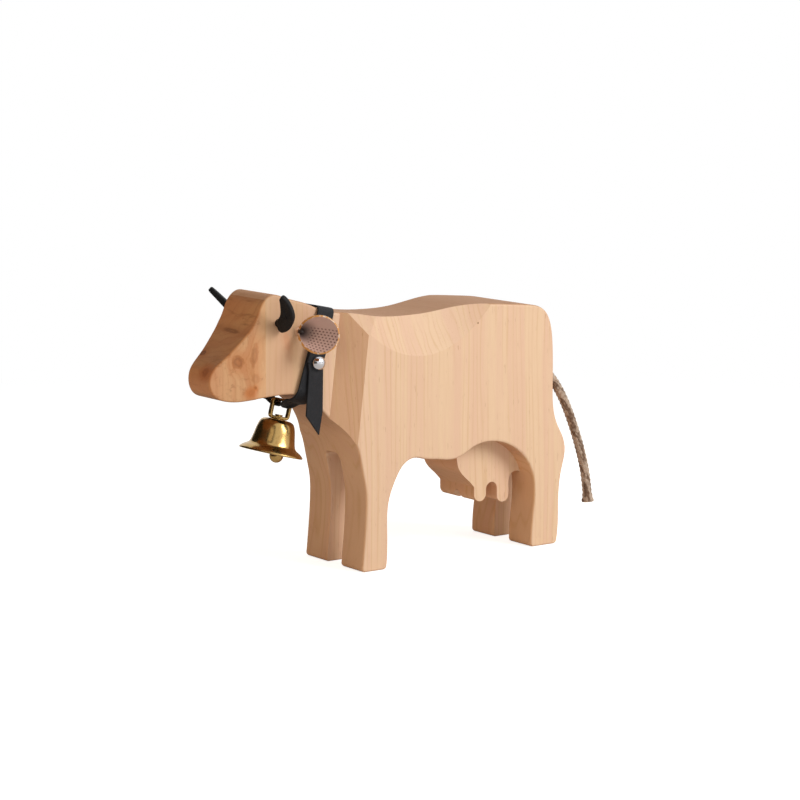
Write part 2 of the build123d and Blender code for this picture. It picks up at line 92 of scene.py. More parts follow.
def surface(name, points, closeRows=False, closeColumns=False, sharp=40, uv=None, caps=(), marks=None):
    # A grid of points, rows by columns, made into quads; caps are further quads, at UV 0
    # Its rows and columns give the UV where none is handed in; marks are named values, one per point
    rows, columns = points.shape[:2]
    order = np.arange(rows * columns).reshape(rows, columns)
    seam = (0, 0)
    if uv is None:
        u, v = np.meshgrid(np.linspace(0, 1, rows), np.linspace(0, 1, columns), indexing="ij")
        uv = np.stack([u, v], -1)
        seam = (1 + 1 / rows, 1 + 1 / columns)
    if closeRows:
        order = np.vstack([order, order[:1]])
        uv = np.concatenate([uv, uv[:1] + [seam[0], 0]])
    if closeColumns:
        order = np.hstack([order, order[:, :1]])
        uv = np.concatenate([uv, uv[:, :1] + [0, seam[1]]], 1)
    cells = cellCorners(order).reshape(-1, 4)
    faces = np.vstack([cells, *caps])
    places = np.vstack([cellCorners(uv).reshape(-1, 2), np.zeros((4 * (len(faces) - len(cells)), 2))])
    mesh = bpy.data.meshes.new(name)
    mesh.from_pydata(points.reshape(-1, 3), [], faces)
    mesh.uv_layers.new(name="grid").data.foreach_set("uv", places.astype(np.float32).ravel())
    for label, values in (marks or {}).items():
        layer = mesh.attributes.new(label, "FLOAT", "POINT")
        layer.data.foreach_set("value", values.astype(np.float32).ravel())
    return cleaned(mesh, sharp)


def cleaned(mesh, sharp):
    # Closes seams and poles, points the faces outwards and shades smooth up to an angle
    work = bmesh.new()
    work.from_mesh(mesh)
    bmesh.ops.remove_doubles(work, verts=work.verts, dist=weldDistance)
    bmesh.ops.dissolve_degenerate(work, edges=work.edges, dist=weldDistance / 20)
    bmesh.ops.recalc_face_normals(work, faces=work.faces)
    work.to_mesh(mesh)
    work.free()
    mesh.polygons.foreach_set("use_smooth", [True] * len(mesh.polygons))
    mesh.set_sharp_from_angle(angle=math.radians(sharp))
    return mesh


def piece(name, meshes, finish, body, nodes=()):
    # Joins meshes into one object that rides on a body and may stand for CAD nodes
    work = bmesh.new()
    for mesh in meshes:
        work.from_mesh(mesh)
    whole = bpy.data.meshes.new(name)
    work.to_mesh(whole)
    work.free()
    whole.materials.append(finish.material)
    made = bpy.data.objects.new(name, whole)
    bpy.context.collection.objects.link(made)
    if nodes:
        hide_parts(*nodes)
    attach(made, body)
    return made


def roundSection(halfWidth, halfThick, count, power=4):
    # A rounded rectangle: a superellipse, whose cosine and sine are raised to 2 / power
    angle = np.linspace(0, 2 * np.pi, count, endpoint=False)
    c, s = (np.sign(part) * abs(part) ** (2 / power) for part in (np.cos(angle), np.sin(angle)))
    return np.stack([halfWidth * c, halfThick * s], -1)


def capped(points, ends):
    # Each end closed by a row that gathers in one point
    first, last = (np.repeat(end[None, None], points.shape[1], 1) for end in ends)
    return np.concatenate([first, points, last])


def swept(centres, across, outward, section, caps=True):
    # A section carried along a path: centre + across * width + outward * thickness, closed by flat ends
    centres, across, outward = (np.asarray(rows, float)[:, None] for rows in (centres, across, outward))
    section = np.broadcast_to(section, (len(centres),) + np.shape(section)[-2:])
    points = centres + across * section[..., :1] + outward * section[..., 1:]
    return capped(points, points[[0, -1]].mean(1)) if caps else points


def revolved(profile, count, frameMatrix):
    # A profile of radius and height turned round the z axis, then placed by a matrix
    angle = np.linspace(0, 2 * np.pi, count, endpoint=False)
    radius, height = np.array(profile, float).T[..., None]
    points = np.stack([radius * np.cos(angle), radius * np.sin(angle), height + 0 * angle], -1)
    return placed(points, frameMatrix)


def placed(points, matrix):
    # Points moved and turned by a matrix
    matrix = np.array(matrix)
    return points @ matrix[:3, :3].T + matrix[:3, 3]


# Helpers for materials


def colour(red, green, blue):
    # A screen colour from 0 to 255 as the linear values that a shader takes
    parts = [value / 255 for value in (red, green, blue)]
    linear = [part / 12.92 if part <= 0.04045 else ((part + 0.055) / 1.055) ** 2.4 for part in parts]
    return (*linear, 1)


class Value:
    # One number in a material; arithmetic on it adds Math nodes
    def __init__(self, finish, socket):
        self.finish, self.socket = finish, socket

    def math(self, operation, *parts):
        return self.finish.node("Math", {"operation": operation}, dict(enumerate(parts)))

    def __add__(self, other):
        return self.math("ADD", self, other)

    def __sub__(self, other):
        return self.math("SUBTRACT", self, other)

    def __rsub__(self, other):
        return self.math("SUBTRACT", other, self)

    def __mul__(self, other):
        return self.math("MULTIPLY", self, other)

    def __truediv__(self, other):
        return self.math("DIVIDE", self, other)

    def __pow__(self, other):
        return self.math("POWER", self, other)

    __radd__ = __add__
    __rmul__ = __mul__

    def most(self, other):
        return self.math("MAXIMUM", self, other)

    def sine(self):
        return self.math("SINE", self)

    def size(self):
        return self.math("ABSOLUTE", self)

    def between(self, low, high):
        # 0 below low, 1 above high, smooth between; a high under low turns it round
        if low > high:
            return 1 - self.between(high, low)
        settings = {"interpolation_type": "SMOOTHSTEP"}
        return self.finish.node("MapRange", settings, {"Value": self, "From Min": low, "From Max": high})


class Finish:
    # One material with a Principled shader
    def __init__(self, name, **constants):
        self.material = bpy.data.materials.new(name)
        self.material.use_nodes = True
        self.tree = self.material.node_tree
        self.shader = self.tree.nodes["Principled BSDF"]
        for socket, value in constants.items():
            self.shader.inputs[socket.replace("_", " ")].default_value = value

    def node(self, kind, settings={}, inputs={}, output=0):
        # Any node: its settings first, then its inputs, each a fixed value or a link
        made = self.tree.nodes.new("ShaderNode" + kind)
        for name, value in settings.items():
            setattr(made, name, value)
        for key, value in inputs.items():
            if isinstance(value, Value):
                self.tree.links.new(value.socket, made.inputs[key])
            else:
                made.inputs[key].default_value = value
        return Value(self, made.outputs[output])

    def coordinates(self, scale=(1, 1, 1), kind="Object", shift=(0, 0, 0)):
        # Object coordinates in millimetres, or the piece's UV, stretched by a scale
        place = self.node("TexCoord", output=kind)
        unit = 1000 if kind == "Object" else 1
        sizes = [unit * part for part in scale]
        scaled = self.node("VectorMath", {"operation": "MULTIPLY"}, {0: place, 1: sizes})
        return self.node("VectorMath", {"operation": "ADD"}, {0: scaled, 1: shift})

    def noise(self, place, detail=2, roughness=0.5):
        inputs = {"Vector": place, "Scale": 1, "Detail": detail, "Roughness": roughness}
        return self.node("TexNoise", {}, inputs)

    def mix(self, factor, first, second, blend="MIX"):
        settings = {"data_type": "RGBA", "blend_type": blend}
        return self.node("Mix", settings, {0: factor, 6: first, 7: second}, 2)

    def axis(self, place, name):
        return self.node("SeparateXYZ", {}, {0: place}, name)

    def facing(self, name):
        # How far the surface faces along an axis, from 0 to 1
        return self.axis(self.node("TexCoord", output="Normal"), name).size()

    def bumped(self, height, distance):
        return self.node("Bump", {}, {"Height": height, "Distance": distance, "Strength": 1})

    def feed(self, **links):
        for socket, value in links.items():
            self.tree.links.new(value.socket, self.shader.inputs[socket.replace("_", " ")])


# Tail: a braided cord on its route out of the hole in the rump

tail = {
    "route": [(88.0, 0.0, 94.3), (101.5, 0.0, 94.3), (114.0, 0.4, 87.2), (124.0, 1.0, 74.0),
              (131.5, 1.2, 58.5), (137.3, 0.8, 42.0), (140.6, 0.0, 27.5), (141.5, -0.6, 14.0)],
    "diameter": 4.5, "strands": 8, "pitch": 11.0, "relief": 0.42, "yarns": 3, "yarnRelief": 0.036,
    "margin": 0.05, "swell": 0.35, "swellStart": 16, "flare": 0.9, "flarePower": 1.5, "fade": 6,
    "pale": colour(192, 171, 152), "brown": colour(112, 84, 62),
}


def routeLine(points):
    # The smooth line of the route, as points read from its NURBS spline
    data = bpy.data.curves.new("tailRoute", "CURVE")
    data.dimensions, data.resolution_u = "3D", 24
    spline = data.splines.new("NURBS")
    spline.points.add(len(points) - 1)
    for spot, point in zip(spline.points, points):
        spot.co = (*[value * mm for value in point], 1)
    spline.order_u = 3
    spline.use_endpoint_u = True
    holder = bpy.data.objects.new("tailRoute", data)
    bpy.context.collection.objects.link(holder)
    mesh = bpy.data.meshes.new_from_object(holder)
    line = np.zeros(len(mesh.vertices) * 3)
    mesh.vertices.foreach_get("co", line)
    bpy.data.objects.remove(holder)
    return line.reshape(-1, 3)


def evenLine(line, count):
    # The same line at evenly spaced points, two directions across it at each, and its length
    travelled = np.concatenate([[0], np.cumsum(np.linalg.norm(np.diff(line, axis=0), axis=1))])
    places = np.linspace(0, travelled[-1], count)
    even = np.stack([np.interp(places, travelled, line[:, part]) for part in range(3)], -1)
    along = np.gradient(even, axis=0)
    along /= np.linalg.norm(along, axis=1)[:, None]
    side = np.cross(along, [0, 1, 0])
    side /= np.linalg.norm(side, axis=1)[:, None]
    return even, side, np.cross(along, side), travelled[-1]


def makeTail():
    # Radius = base + relief of whichever of two opposite helix families lies on top at that place
    line, side, other, length = evenLine(routeLine(tail["route"]), 560)
    angle = np.linspace(0, 2 * np.pi, 72, endpoint=False)
    turn, run = np.meshgrid(angle, np.linspace(0, length / mm, len(line)))
    half = tail["strands"] / 2
    wind = 2 * np.pi * run / tail["pitch"]
    right, left = half * (turn - wind), half * (turn + wind)
    rightOver = np.sin((right + left) / 2) * np.sin((right - left) / 2) > 0
    over = np.where(rightOver, right, left)
    sunk = tail["relief"] * (1 - np.abs(np.cos(over / 2)))
    yarns = tail["yarnRelief"] * np.cos(over * tail["yarns"])
    swell = tail["swell"] * np.clip((run - tail["swellStart"]) / tail["fade"], 0, 1)
    opened = np.clip((run - run.max()) / tail["fade"] + 1, 0, 1) ** tail["flarePower"]
    radius = tail["diameter"] / 2 + tail["margin"] + swell + opened * tail["flare"] - sunk + yarns
    offset = side[:, None] * np.cos(turn)[..., None] + other[:, None] * np.sin(turn)[..., None]
    points = line[:, None] + offset * (radius * mm)[..., None]
    mesh = surface("tail", capped(points, line[[0, -1]]), closeColumns=True, sharp=80)
    made = piece("tailBraid", [mesh], tailFinish(), "cow", ["tail_cord"])
    leaves = tuple(value * mm for value in tail["route"][0])
    tail["diameter"] * mm
    print("tail made, length", round(length / mm, 1))


def tailFinish():
    cord = Finish("braidedCord", Roughness=0.85)
    cord.shader.inputs["Sheen Weight"].default_value = 0.3
    place = cord.coordinates((1, 1, 1), "UV")
    run, turn = cord.axis(place, "X"), cord.axis(place, "Y")
    lengthwise = cord.node("CombineXYZ", {}, {0: run * 16 + turn * 3, 1: turn * 5, 2: 0.5})
    streaks = cord.noise(lengthwise, 2, 0.6)
    yarn = cord.noise(cord.coordinates((3, 3, 3)), 3, 0.7)
    shade = cord.mix(streaks.between(0.46, 0.58) * 0.95, tail["pale"], tail["brown"])
    cord.feed(Base_Color=cord.mix((yarn - 0.4) * 0.6, shade, tail["brown"]))
    cord.feed(Normal=cord.bumped(yarn, 0.0002))
    return cord


makeTail()

# Wood: grain upright in the board, rings that cross its thickness at a slant

# The edge colour, scaled by its tint, is painted warm shade for faces that face along the body
woodLook = {
    "pale": colour(231, 199, 166), "pink": colour(228, 191, 163), "line": colour(212, 172, 128),
    "end": colour(196, 146, 108), "edge": colour(248, 220, 190), "fleck": colour(176, 126, 88),
    "slant": 0.35, "drift": 5, "bandWidth": 4.2, "lineSpacing": 3.3, "uneven": 9, "lineDepth": 0.5,
    "blush": 0.45, "veins": 0.0, "pores": 0.35, "paintedShadeTint": 0.75, "endTint": 0.85, "endRings": 0.4,
    "headward": colour(238, 228, 216), "headRange": (-35, -62),
}


def woodFinish(name, look, knots=()):
    wood = Finish(name, Roughness=0.52, IOR=1.45)
    wood.shader.inputs["Specular IOR Level"].default_value = 0.35
    place = wood.coordinates()
    x, y, z = (wood.axis(place, part) for part in "XYZ")

    # Growth rings, counted across the slant and bent round the knots
    drift = wood.noise(wood.coordinates((0.03, 0.03, 0.004)), 2)
    rings = (x + y * look["slant"]) / look["bandWidth"] + drift * look["drift"]
    distances = [knotDistance(wood, place, knot) for knot in knots]
    for away, knot in zip(distances, knots):
        rings = rings + away.between(3.2, 0.2) * knot["bend"]
    bands = wood.noise(wood.node("CombineXYZ", {}, {0: rings, 1: 0.3, 2: z * 0.004}), 2)
    uneven = wood.noise(wood.coordinates((0.16, 0.16, 0.006), shift=(2, 5, 8)), 1) * look["uneven"]
    pace = look["bandWidth"] / look["lineSpacing"] * 2 * math.pi
    lines = ((rings * pace + uneven).sine() * 0.5 + 0.5) ** 7

    # Face grain: broad bands, then thin lines, fibres and a darker head
    patchy = wood.noise(wood.coordinates((0.09, 0.09, 0.014), shift=(7, 3, 1)), 3).between(0.3, 0.62)
    fibres = wood.noise(wood.coordinates((2.6, 2.6, 0.09)), 3, 0.6)
    blush = wood.noise(wood.coordinates((0.45, 0.45, 0.035), shift=(1, 6, 3)), 2).between(0.5, 0.72)
    shade = wood.mix(bands.between(0.35, 0.65), look["pale"], look["pink"])
    shade = wood.mix(blush * look["blush"], shade, look["pink"])
    shade = wood.mix(lines * patchy * look["lineDepth"], shade, look["line"])
    shade = wood.mix((fibres - 0.5) * 0.45 + 0.1, shade, look["line"])
    shade = wood.mix(x.between(*look["headRange"]), shade, look["headward"], "MULTIPLY")
    if look["veins"]:
        swirl = wood.noise(wood.coordinates((0.22, 0.05, 0.3), shift=(5, 1, 2)), 4, 0.65)
        shade = wood.mix(swirl.between(0.55, 0.75) * look["veins"], shade, look["fleck"])
    pores = wood.noise(wood.coordinates((1.7, 1.7, 0.16), shift=(4, 9, 2)), 2, 0.4).between(0.68, 0.76)
    shade = wood.mix(pores * look["pores"], shade, look["fleck"])

    # End grain shows where the surface faces up or down; painted warm shade darkens faces that face along
    # the body
    across = wood.facing("Z").between(0.45, 0.9)
    paintedFacingShade = wood.facing("X").between(0.2, 0.85)
    speckle = wood.noise(wood.coordinates((3.1, 3.1, 3.1)), 3, 0.6)
    endGrain = wood.mix(speckle.between(0.35, 0.75) * 0.5, look["end"], look["fleck"])
    ringMarks = lines * look["endRings"] + bands.between(0.45, 0.7) * 0.12
    endGrain = wood.mix(ringMarks, endGrain, look["fleck"])
    shade = wood.mix(paintedFacingShade * look["paintedShadeTint"], shade, look["edge"], "MULTIPLY")
    shade = wood.mix(across * look["endTint"], shade, endGrain)
    for away, knot in zip(distances, knots):
        shade = knotColour(wood, away, knot, shade)
    wood.feed(Base_Color=shade)
    wood.feed(Roughness=0.46 + fibres * 0.14 + across * 0.08)
    wood.feed(Normal=wood.bumped(fibres * 0.6 - pores * 0.5 + speckle * across * 0.5, 0.00012))
    return wood


def knotDistance(wood, place, knot):
    # Distance from a knot's middle in multiples of its half sizes
    offset = wood.node("VectorMath", {"operation": "SUBTRACT"}, {0: place, 1: knot["middle"]})
    inputs = {"Vector": offset, "Rotation": knot["turn"]}
    turned = wood.node("VectorRotate", {"rotation_type": "EULER_XYZ"}, inputs)
    scaled = wood.node("VectorMath", {"operation": "DIVIDE"}, {0: turned, 1: knot["half"]})
    wobble = wood.noise(wood.coordinates((0.5, 0.5, 0.5)), 2)
    length = wood.node("VectorMath", {"operation": "LENGTH"}, {0: scaled}, "Value")
    return length + (wobble - 0.5) * 0.7


def knotColour(wood, away, knot, shade):
    # A warm halo, then a dark core with rings in it
    shade = wood.mix(away.between(3.0, 0.8) * knot["halo"], shade, knot["warm"])
    ring = (away * 9).sine() * 0.5 + 0.5
    core = wood.mix(ring * 0.5, knot["dark"], knot["warm"])
    return wood.mix(away.between(1.15, 0.85) * knot["depth"], shade, core)


# Here too the edge colour is painted warm shade for faces that face along the body
muzzleLook = dict(
    woodLook, pale=colour(218, 174, 132), pink=colour(210, 158, 118), line=colour(182, 124, 78),
    end=colour(168, 112, 68), edge=colour(246, 210, 168), fleck=colour(142, 90, 50),
    lineDepth=0.26, veins=0.5, headward=colour(255, 252, 247),
)
amber, umber = colour(196, 126, 74), colour(138, 80, 42)
muzzleKnots = [
    {"middle": (-90.7, -14, 110.5), "half": (3.0, 6, 3.4), "turn": (0, 0.5, 0.3), "bend": 1.3, "halo": 0.5,
     "depth": 0.62, "warm": amber, "dark": umber},
    {"middle": (-82.6, -15.5, 113.5), "half": (2.0, 5, 6.0), "turn": (0, -0.15, 0), "bend": 1.1, "halo": 0.4,
     "depth": 0.5, "warm": amber, "dark": colour(150, 90, 50)},
    {"middle": (-82.3, -16.5, 97.5), "half": (0.6, 2.5, 0.75), "turn": (0, 0.5, 0), "bend": 0.2, "halo": 0.8,
     "depth": 1.0, "warm": colour(190, 116, 62), "dark": colour(40, 20, 10)},
    {"middle": (-84.6, -16, 95.3), "half": (1.9, 3, 1.5), "turn": (0, 0.6, 0), "bend": 0.5, "halo": 0.75,
     "depth": 0.3, "warm": colour(198, 118, 60), "dark": colour(168, 98, 52)},
    {"middle": (-82.2, -16, 102.0), "half": (2.2, 3, 2.6), "turn": (0, 0.3, 0), "bend": 0.9, "halo": 0.35,
     "depth": 0.35, "warm": amber, "dark": colour(160, 100, 58)},
    {"middle": (-86.0, -1, 124.3), "half": (1.6, 9.5, 1.1), "turn": (0, 0, 0.12), "bend": 0.4, "halo": 0.4,
     "depth": 0.55, "warm": colour(170, 104, 56), "dark": colour(112, 66, 34)},
    {"middle": (-96.3, 9.4, 113.0), "half": (2.2, 2.4, 1.4), "turn": (0, 0, 0), "bend": 0.6, "halo": 0.6,
     "depth": 0.75, "warm": colour(170, 100, 54), "dark": colour(96, 56, 28)},
    {"middle": (-103.4, -4.5, 105.6), "half": (2.6, 2.8, 2.4), "turn": (0, 0, 0), "bend": 0.7, "halo": 0.65,
     "depth": 0.5, "warm": colour(178, 98, 50), "dark": colour(140, 76, 38)},
]

boardKnots = [
    {"middle": (46.1, -26, 121.3), "half": (0.45, 1.5, 0.5), "turn": (0, 0, 0), "bend": 0.1, "halo": 0.2,
     "depth": 0.9, "warm": colour(214, 172, 132), "dark": colour(112, 78, 52)},
    {"middle": (-64.0, -16.5, 119.0), "half": (1.6, 3, 4.5), "turn": (0, 0.2, 0), "bend": 0.3, "halo": 0.28,
     "depth": 0.3, "warm": colour(214, 150, 110), "dark": colour(206, 140, 100)},
]
bodyWood = woodFinish("boardWood", woodLook, boardKnots)
muzzleWood = woodFinish("knottyWood", muzzleLook, muzzleKnots)
print("wood finishes made")


def finishNode(node, finish):
    # A CAD solid kept as it is, with a better material
    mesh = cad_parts[node].data
    mesh.materials.clear()
    mesh.materials.append(finish.material)


finishNode("body_block", bodyWood)
finishNode("muzzle_stave", muzzleWood)

# Leather and metal


def leatherFinish(name, face, worn, roughness, grain):
    leather = Finish(name, Roughness=roughness)
    leather.shader.inputs["Specular IOR Level"].default_value = 0.25
    place = leather.coordinates((grain, grain, grain))
    cells = leather.node("TexVoronoi", {"feature": "DISTANCE_TO_EDGE"}, {"Vector": place, "Scale": 1})
    pebble = cells.between(0.0, 0.35)
    mottle = leather.noise(leather.coordinates((0.25, 0.25, 0.25)), 3)
    leather.feed(Base_Color=leather.mix(mottle.between(0.45, 0.75) * 0.6, face, worn))
    leather.feed(Roughness=roughness + (mottle - 0.5) * 0.15 - pebble * 0.08)
    leather.feed(Normal=leather.bumped(pebble + mottle * 0.5, 0.00008))
    return leather


def metalFinish(name, shade, tarnish, roughness):
    metal = Finish(name, Metallic=1.0, Roughness=roughness)
    mottle = metal.noise(metal.coordinates((0.35, 0.35, 0.35)), 3)
    scratch = metal.noise(metal.coordinates((0.8, 0.8, 9)), 2)
    metal.feed(Base_Color=metal.mix(mottle.between(0.5, 0.8) * 0.5, shade, tarnish))
    metal.feed(Roughness=roughness + (mottle - 0.5) * 0.12 + (scratch - 0.5) * 0.06)
    metal.feed(Normal=metal.bumped(mottle, 0.00003))
    return metal


blackLeather = leatherFinish("blackLeather", colour(28, 29, 33), colour(42, 42, 46), 0.6, 2.2)
hornLeather = leatherFinish("hornLeather", colour(9, 7, 8), colour(20, 17, 17), 0.6, 1.8)
brass = metalFinish("brass", colour(190, 156, 98), colour(146, 106, 54), 0.22)
steel = metalFinish("steel", colour(214, 214, 218), colour(176, 176, 182), 0.14)

# Bell: its square ring hangs on the strap's arch, and all of it tilts forward

bell = {
    "axis": (-57.76, 0, 82.30), "tilt": 15, "rim": -21.9, "crown": -4.6, "wall": 0.9, "crownInside": 3,
    "profile": [
        (4.5, -4.6), (6.4, -4.85), (8.05, -5.7), (9.0, -7.35), (9.75, -9.9), (10.5, -13.8),
        (11.25, -16.8), (12.2, -18.25), (14.4, -19.6), (15.9, -20.9), (16.1, -21.4),
    ],
    "lip": [(0.1, 0.1), (0.45, 0), (0.8, 0.1)],
    "window": (4.4, 4.4, -3.0), "bar": 1.6, "depth": 2.4, "ringPower": 7.142857, "barPower": 5,
}
bellTilt = Matrix.Rotation(math.radians(bell["tilt"]), 4, "Y")
bellMatrix = Matrix.Translation(Vector(bell["axis"]) * mm) @ bellTilt


def makeBell():
    # Outer profile down to the rim, a rounded lip, and the same profile back up inside by the wall
    outer = smoothCurve(bell["profile"], 70)
    inner = outer[::-1] - [bell["wall"], 0]
    inner = inner[inner[:, 0] > bell["crownInside"]]
    ceiling = bell["crown"] - bell["wall"]
    inner[:, 1] = np.minimum(inner[:, 1], ceiling)
    reach = bell["profile"][-1][0]
    lip = [(reach - inset, bell["rim"] + lift) for inset, lift in bell["lip"]]
    profile = np.vstack([[(0, bell["crown"])], outer, lip, inner, [(0, ceiling)]]) * mm
    mesh = surface("bell", revolved(profile, 160, bellMatrix), closeColumns=True, sharp=50)
    piece("bellShell", [mesh], brass, "bell", ["bell_shell"])


def makeRing():
    # A rounded rectangle path round the window, with a rounded square section carried along it
    half, top, low = bell["window"]
    bar = bell["bar"] / 2
    middle = (top + low) / 2
    flat = roundSection(half + bar, (top - low) / 2 + bar, 160, bell["ringPower"])
    path = np.stack([flat[:, 0], 0 * flat[:, 0], middle + flat[:, 1]], -1)
    along = np.roll(path, -1, 0) - np.roll(path, 1, 0)
    along /= np.linalg.norm(along, axis=1)[:, None]
    out = np.cross(along, [0, 1, 0])
    section = roundSection(bell["depth"] / 2, bar, 28, bell["barPower"])
    sideways = np.repeat([[0.0, 1, 0]], len(path), 0)
    points = swept(path, sideways, out, section, caps=False)
    mesh = surface("ring", placed(points * mm, bellMatrix), True, True, sharp=60)
    piece("bellRing", [mesh], brass, "bell", ["bell_hanger"])


makeBell()
makeRing()
finishNode("bell_stud", brass)
finishNode("clapper", brass)
print("bell made")

# Rivet: a domed cap over the strap; its post keeps the solid's shape

rivet = {
    "place": (-48.34, -20.4, 107.535), "radius": 3.65, "rise": 3.1, "lip": 0.3, "chamfer": 0.15,
    "steps": 14,
}


def makeRivet():
    # The dome: radius * cos(angle), lip + (rise - lip) * sin(angle)
    radius, lip, chamfer = rivet["radius"], rivet["lip"], rivet["chamfer"]
    angle = np.linspace(0, math.pi / 2, rivet["steps"])
    dome = np.stack([radius * np.cos(angle), lip + (rivet["rise"] - lip) * np.sin(angle)], -1)
    profile = [(0, 0), (radius - chamfer, 0), (radius, chamfer), *dome]
    facing = Matrix.Translation(Vector(rivet["place"])) @ Matrix.Rotation(math.radians(90), 4, "X")
    cap = surface("rivetCap", revolved(profile, 64, facing) * mm, closeColumns=True, sharp=50)
    piece("rivetCap", [cap], steel, "cow", ["rivet_cap"])


makeRivet()
finishNode("rivet_post", steel)

# Collar: one strap round the neck, curled to an arch where the bell's ring hangs

collar = {
    "top": (-41.67, 133.34), "lean": 17.5, "topLean": 12.0, "leanDepth": 9, "lift": 0.15,
    "width": 9.4, "thick": 1.2, "edgePower": 7, "drop": 49.31, "far": 17.45, "inner": -18.35,
    "outer": -19.75, "topCorner": 2.6, "lowCorner": 7.4, "innerEnd": 20.9, "outerEnd": 27.9, "part": 17.9,
    "archRadius": 3.55, "archPinch": 0.2, "archHalf": 1.6, "flatHalf": 9.0, "archDepth": 5,
    "sag": 2.2, "farSag": 0.8, "sagRange": (1, 12), "sagDepth": 16,
    "front": [(-54.2, 107.53), (-53.6, 103.98), (-55.3, 81.55), (-47.9, 71.59)],
    "rear": [(-45.1, 107.53), (-45.25, 103.3), (-45.6, 82.9), (-47.9, 71.59)],
    "tipWidth": 0.02, "endPower": 8,
}


def roundedPath(corners, radii, step=0.35):
    # Straight runs joined by tangent arcs, sampled every step
    corners = np.array(corners, float)
    points = [corners[:1]]
    for before, corner, after, radius in zip(corners, corners[1:], corners[2:], radii):
        come, go = corner - before, after - corner
        come, go = come / np.linalg.norm(come), go / np.linalg.norm(go)
        turn = math.acos(np.clip(come @ go, -1, 1))
        reach = radius * math.tan(turn / 2)
        side = np.sign(come[0] * go[1] - come[1] * go[0])
        normal = side * np.array([-come[1], come[0]])
        middle = corner - come * reach + normal * radius
        sweepAngle = np.linspace(0, turn, max(3, int(radius * turn / step)))[:, None]
        arm = come * np.sin(sweepAngle) - normal * np.cos(sweepAngle)
        points.append(middle + radius * arm)
    points.append(corners[-1:])
    line = np.vstack(points)
    travelled = np.concatenate([[0], np.cumsum(np.linalg.norm(np.diff(line, axis=0), axis=1))])
    places = np.linspace(0, travelled[-1], int(travelled[-1] / step))
    return np.stack([np.interp(places, travelled, line[:, part]) for part in (0, 1)], -1)


def makeCollar():
    # Each point = path + width direction * R sin(a / R) + outward * (b + R (1 - cos(a / R)))
    # a and b are the section's width and thickness, and R, the curl's radius, is small in the arch
    half = collar["thick"] / 2
    top, bottom = collar["lift"] + half, -collar["drop"] - half
    corners = [
        (collar["inner"], -collar["innerEnd"]), (collar["inner"], bottom), (collar["far"], bottom),
        (collar["far"], top), (-collar["far"], top), (collar["outer"], -collar["part"]),
        (collar["outer"], -collar["outerEnd"]),
    ]
    line = roundedPath(corners, [collar["lowCorner"]] * 2 + [collar["topCorner"]] * 3)
    aside = eased(abs(line[:, 0]), *collar["sagRange"])
    depth = eased(-line[:, 1], collar["drop"] - collar["sagDepth"], collar["drop"])
    line[:, 1] += np.where(line[:, 0] < 0, collar["sag"], collar["farSag"]) * aside * depth
    along = np.gradient(line, axis=0)
    along /= np.linalg.norm(along, axis=1)[:, None]
    lean = math.radians(collar["lean"])
    up = np.array([math.sin(lean), 0, math.cos(lean)])
    rise = eased(line[:, 1], -collar["leanDepth"], 0)
    flatter = np.radians(collar["lean"] + (collar["topLean"] - collar["lean"]) * rise)
    wide = np.stack([np.cos(flatter), 0 * flatter, -np.sin(flatter)], -1)
    centre = stood(line, up) + [collar["top"][0], 0, collar["top"][1]]
    outward = stood(np.stack([along[:, 1], -along[:, 0]], -1), up)
    away = eased(abs(line[:, 0]), collar["archHalf"], collar["flatHalf"])
    curl = np.where(line[:, 1] < bottom + collar["archDepth"], 1 - away, 0)[:, None]
    section = roundSection(collar["width"] / 2, half, 56, collar["edgePower"])
    bend = np.maximum(curl, 1e-4) / collar["archRadius"]
    a, b = section[:, 0] * (1 - collar["archPinch"] * curl), section[:, 1]
    acrossPart = np.sin(a * bend) * (1 / bend - b)
    outPart = b * np.cos(a * bend) + (1 - np.cos(a * bend)) / bend
    points = swept(centre, wide, outward, np.stack([acrossPart, outPart], -1))
    mesh = surface("strap", points * mm, closeColumns=True, sharp=50)
    piece("collarStrap", [mesh, freeEnd()], blackLeather, "cow", ["collar_strap"])


def stood(flat, up):
    # The strap's flat drawing stood up: its first number runs along Y, its second up the leaning loop
    return flat[:, :1] * np.array([0, 1, 0]) + flat[:, 1:] * up


def freeEnd():
    # A plate hanging from the rivet; at each height it spans from the front edge to the rear edge
    heights = np.linspace(collar["front"][0][1], collar["front"][-1][1], 120)
    front, rear = (np.array(collar[edge])[::-1].T for edge in ("front", "rear"))
    left, right = (np.interp(heights, edge[1], edge[0]) for edge in (front, rear))
    widths = np.maximum((right - left) / 2, collar["tipWidth"])[:, None]
    section = roundSection(1, collar["thick"] / 2, 48, collar["endPower"])
    shaped = np.stack([widths * section[:, 0], 0 * widths + section[:, 1]], -1)
    centre = np.stack([(left + right) / 2, 0 * heights + collar["outer"], heights], -1)
    forward, outward = (np.repeat([way], len(heights), 0) for way in ([1.0, 0, 0], [0, -1.0, 0]))
    points = swept(centre, forward, outward, shaped)
    return surface("freeEnd", points * mm, closeColumns=True, sharp=50)


makeCollar()
print("collar made")

# Horns: flat leather with rounded edges, each on a round tang in the wood

horn = {
    "root": (-70.86, -16.5, 127.07), "across": (0.577, -0.805, -0.139), "face": (-0.694, -0.393, -0.603),
    "thick": 4.0, "tipThick": 2.8, "round": 1.0, "span": 11.4, "length": 21.8, "middle": (0.68, 0.43),
    "steps": 24, "faceShares": (0, 0.3, 0.6, 0.85),
    "outline": [
        (0.349, -0.109), (0.205, -0.065), (0.152, 0.03), (0.158, 0.139), (0.21, 0.243), (0.32, 0.35),
        (0.416, 0.509), (0.45, 0.67), (0.466, 0.83), (0.473, 0.927), (0.604, 1), (0.741, 0.959),
        (0.874, 0.835), (0.969, 0.642), (1, 0.444), (0.947, 0.28), (0.807, 0.104), (0.601, -0.033),
    ],
    "tang": (0.456, 0.119), "tangRadius": 1.9, "tangTop": 0.8, "tangEnd": -11.5, "tangRound": 0.3,
    "rightTurn": -9.0,
}


